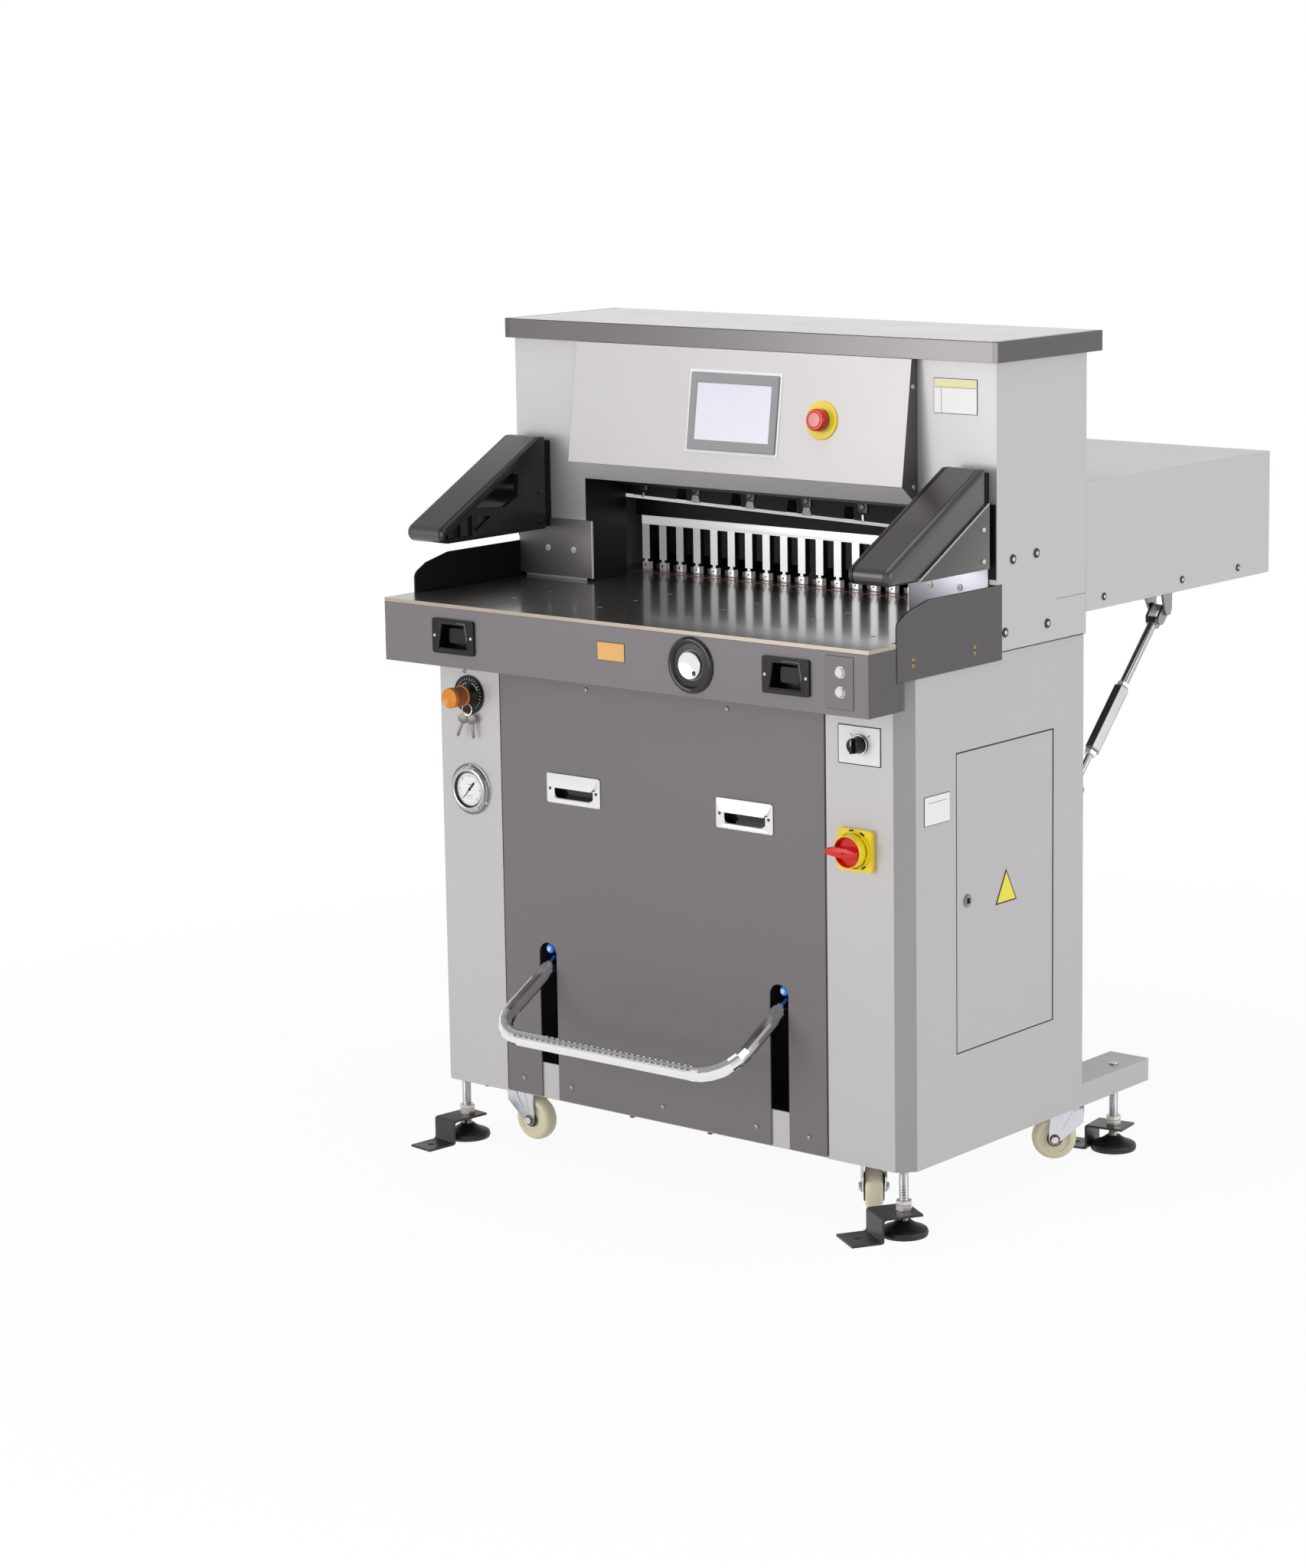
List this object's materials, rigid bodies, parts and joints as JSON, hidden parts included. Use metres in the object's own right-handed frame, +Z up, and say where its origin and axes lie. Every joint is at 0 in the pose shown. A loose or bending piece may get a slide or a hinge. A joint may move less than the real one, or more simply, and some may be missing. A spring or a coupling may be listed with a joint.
{
  "type": "hydraulic paper cutter",
  "caption": "Floor-standing hydraulic guillotine for paper stacks, with swing-cut knife, clamp, comb back gauge, foot pedal, console and light-barrier arms.",
  "frame": {"origin": "on the floor, under the middle of the whole machine's box", "axes": "+Z up; the operator stands at -Y and looks along +Y; +X is to the operator's right"},
  "size_m": [0.989, 1.1704, 1.344],
  "materials": {
    "light_grey_paint": "satin",
    "dark_grey_paint": "satin",
    "black_paint": "semi-gloss",
    "table_coat": "polished dark coat",
    "chrome": "mirror",
    "bright_steel": "ground",
    "zinc": "zinc plated",
    "black_plastic": "satin",
    "screen_plastic": "satin",
    "white_plastic": "gloss",
    "nylon": "satin",
    "red_plastic": "gloss",
    "yellow_plastic": "gloss",
    "orange_plastic": "gloss"
  },
  "bodies": {
    "base": {"base_cabinet": "light_grey_paint", "front_panel": "dark_grey_paint", "pull_handle_left": "chrome", "pull_handle_right": "chrome", "pedal_shaft": "zinc", "levelling_foot_front_left": "black_paint", "levelling_foot_front_right": "black_paint", "levelling_foot_rear_left": "black_paint", "levelling_foot_rear_right": "black_paint", "pressure_gauge": "chrome", "pressure_dial": "black_plastic", "isolator_base": "yellow_plastic", "table": "table_coat", "cutting_stick": "red_plastic", "apron": "dark_grey_paint", "button_housing_left": "black_plastic", "button_housing_right": "black_plastic", "handwheel_bezel": "black_plastic", "side_guard_left": "dark_grey_paint", "side_guard_right": "dark_grey_paint", "head_casing": "light_grey_paint", "throat_plate_left": "dark_grey_paint", "throat_plate_right": "dark_grey_paint", "console_cover": "light_grey_paint", "touch_screen": "screen_plastic", "stop_collar": "yellow_plastic", "lid": "dark_grey_paint", "arm_left": "black_paint", "arm_right": "black_paint", "rear_cover": "light_grey_paint", "strut_left": "zinc", "strut_right": "zinc", "hydraulic_unit": "dark_grey_paint"},
    "pedal": {"pedal_bar": "chrome"},
    "door": {"cabinet_door": "light_grey_paint"},
    "lock": {"door_lock": "chrome"},
    "needle": {"gauge_needle": "black_plastic"},
    "pressure_setting": {"pressure_knob": "orange_plastic"},
    "selector": {"selector_knob": "black_plastic"},
    "main_switch": {"isolator_handle": "red_plastic"},
    "cut_left": {"cut_button_left": "black_plastic"},
    "cut_right": {"cut_button_right": "black_plastic"},
    "handwheel": {"handwheel_knob": "chrome"},
    "button_upper": {"push_button_upper": "white_plastic"},
    "button_lower": {"push_button_lower": "white_plastic"},
    "emergency_stop": {"stop_button": "red_plastic"},
    "clamp": {"clamp_beam": "black_paint"},
    "knife_slide": {"knife_guide_block": "bright_steel"},
    "knife_unit": {"knife": "bright_steel", "knife_carrier": "black_paint"},
    "gauge_carriage": {"back_gauge": "bright_steel"},
    "gauge_screw": {"lead_screw": "bright_steel"},
    "swivel_front_left": {"caster_fork_front_left": "zinc"},
    "swivel_front_right": {"caster_fork_front_right": "zinc"},
    "swivel_rear_left": {"caster_fork_rear_left": "zinc"},
    "swivel_rear_right": {"caster_fork_rear_right": "zinc"},
    "wheel_front_left": {"caster_wheel_front_left": "nylon"},
    "wheel_front_right": {"caster_wheel_front_right": "nylon"},
    "wheel_rear_left": {"caster_wheel_rear_left": "nylon"},
    "wheel_rear_right": {"caster_wheel_rear_right": "nylon"}
  },
  "joints": [
    {"name": "pedal_press", "type": "hinge", "parent": "base", "child": "pedal", "pos_m": [0, -0.36479, 0.363], "axis": [1, 0, 0], "range_deg": [0, 20], "stiffness_Nm_per_rad": 40, "springref_deg": -20.05},
    {"name": "door_hinge", "type": "hinge", "parent": "base", "child": "door", "pos_m": [0.48, -0.05029, 0.5], "axis": [0, 0, 1], "range_deg": [0, 110]},
    {"name": "lock_turn", "type": "hinge", "parent": "door", "child": "lock", "pos_m": [0.48, -0.27979, 0.501], "axis": [1, 0, 0], "range_deg": [0, 90]},
    {"name": "needle_turn", "type": "hinge", "parent": "base", "child": "needle", "pos_m": [-0.3935, -0.44, 0.6004], "axis": [0, 1, 0], "range_deg": [-176, 94]},
    {"name": "pressure_turn", "type": "hinge", "parent": "base", "child": "pressure_setting", "pos_m": [-0.3935, -0.46, 0.7555], "axis": [0, 1, 0], "range_deg": [-135, 135]},
    {"name": "selector_turn", "type": "hinge", "parent": "base", "child": "selector", "pos_m": [0.3958, -0.445, 0.757], "axis": [0, 1, 0], "range_deg": [-45, 45]},
    {"name": "main_switch_turn", "type": "hinge", "parent": "base", "child": "main_switch", "pos_m": [0.3895, -0.455, 0.5965], "axis": [0, 1, 0], "range_deg": [0, 90]},
    {"name": "cut_left_press", "type": "slide", "parent": "base", "child": "cut_left", "axis": [0, 1, 0], "range_m": [0, 0.004], "stiffness_N_per_m": 500, "springref_m": -0.004},
    {"name": "cut_right_press", "type": "slide", "parent": "base", "child": "cut_right", "axis": [0, 1, 0], "range_m": [0, 0.004], "stiffness_N_per_m": 500, "springref_m": -0.004},
    {"name": "handwheel_turn", "type": "hinge", "parent": "base", "child": "handwheel", "pos_m": [0.1488, -0.54, 0.866], "axis": [0, 1, 0], "continuous": true},
    {"name": "button_upper_press", "type": "slide", "parent": "base", "child": "button_upper", "axis": [0, 1, 0], "range_m": [0, 0.003], "stiffness_N_per_m": 500, "springref_m": -0.003},
    {"name": "button_lower_press", "type": "slide", "parent": "base", "child": "button_lower", "axis": [0, 1, 0], "range_m": [0, 0.003], "stiffness_N_per_m": 500, "springref_m": -0.003},
    {"name": "stop_press", "type": "slide", "parent": "base", "child": "emergency_stop", "axis": [0, 0.991, -0.1335], "range_m": [0, 0.005]},
    {"name": "clamp_down", "type": "slide", "parent": "base", "child": "clamp", "axis": [0, 0, -1], "range_m": [0, 0.09], "stiffness_N_per_m": 5000, "springref_m": -0.2},
    {"name": "knife_down", "type": "slide", "parent": "base", "child": "knife_slide", "axis": [0.3714, 0, -0.9285], "range_m": [0, 0.12386]},
    {"name": "knife_swing", "type": "hinge", "parent": "knife_slide", "child": "knife_unit", "pos_m": [-0.023, -0.0998, 1.246], "axis": [0, 1, 0], "range_deg": [-1.42, 0]},
    {"name": "gauge_travel", "type": "slide", "parent": "base", "child": "gauge_carriage", "axis": [0, 1, 0], "range_m": [0, 0.53]},
    {"name": "screw_turn", "type": "hinge", "parent": "base", "child": "gauge_screw", "pos_m": [0, 0.2, 0.887], "axis": [0, 1, 0], "continuous": true},
    {"name": "swivel_front_left_turn", "type": "hinge", "parent": "base", "child": "swivel_front_left", "pos_m": [-0.36, -0.35979, 0.09], "axis": [0, 0, 1], "continuous": true},
    {"name": "swivel_front_right_turn", "type": "hinge", "parent": "base", "child": "swivel_front_right", "pos_m": [0.36, -0.35979, 0.09], "axis": [0, 0, 1], "continuous": true},
    {"name": "swivel_rear_left_turn", "type": "hinge", "parent": "base", "child": "swivel_rear_left", "pos_m": [-0.436, 0.06521, 0.09], "axis": [0, 0, 1], "continuous": true},
    {"name": "swivel_rear_right_turn", "type": "hinge", "parent": "base", "child": "swivel_rear_right", "pos_m": [0.436, 0.06521, 0.09], "axis": [0, 0, 1], "continuous": true},
    {"name": "wheel_front_left_roll", "type": "hinge", "parent": "swivel_front_left", "child": "wheel_front_left", "pos_m": [-0.335, -0.35979, 0.042], "axis": [0, 1, 0], "continuous": true},
    {"name": "wheel_front_right_roll", "type": "hinge", "parent": "swivel_front_right", "child": "wheel_front_right", "pos_m": [0.34461, -0.34009, 0.042], "axis": [-0.7881, -0.6155, 0], "continuous": true},
    {"name": "wheel_rear_left_roll", "type": "hinge", "parent": "swivel_rear_left", "child": "wheel_rear_left", "pos_m": [-0.436, 0.04021, 0.042], "axis": [1, 0, 0], "continuous": true},
    {"name": "wheel_rear_right_roll", "type": "hinge", "parent": "swivel_rear_right", "child": "wheel_rear_right", "pos_m": [0.41627, 0.04985, 0.042], "axis": [0.6141, -0.7892, 0], "continuous": true}
  ],
  "couplings": [
    {"joint": "knife_swing", "follows": "knife_down", "rad_per_m": -0.20013},
    {"joint": "screw_turn", "follows": "gauge_travel", "rad_per_m": 314.16}
  ]
}
